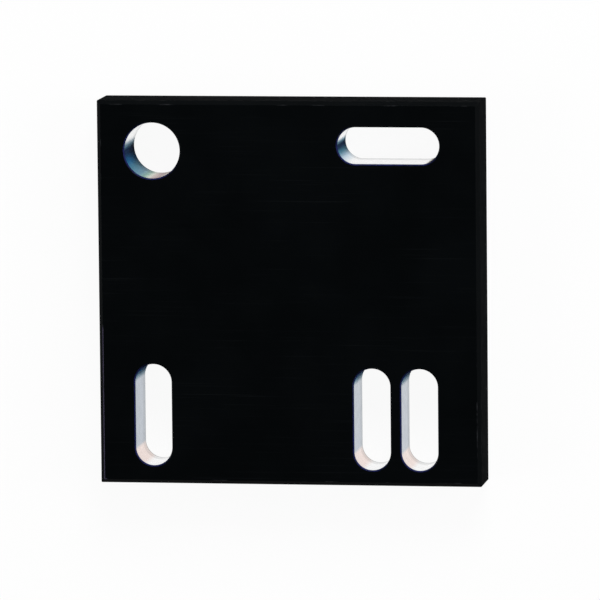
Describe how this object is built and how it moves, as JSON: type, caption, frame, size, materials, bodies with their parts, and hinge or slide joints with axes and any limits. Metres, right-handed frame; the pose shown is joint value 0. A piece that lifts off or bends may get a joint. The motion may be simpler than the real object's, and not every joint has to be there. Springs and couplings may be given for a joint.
{
  "type": "fixture plate",
  "caption": "Square steel fixture plate with a round bore, a cross slot and standing slots, for bolting and locating work.",
  "frame": {"origin": "middle of the back face, which the plate rests on", "axes": "+X towards the right edge, +Y towards the upper edge, +Z out of the front face"},
  "size_m": [0.1, 0.1, 0.015],
  "materials": {
    "black_plate": "matt black coat on the faces and edges; walls of the bore and slots bare machined steel"
  },
  "bodies": {
    "root": {"fixture_plate": "black_plate"}
  },
  "joints": []
}
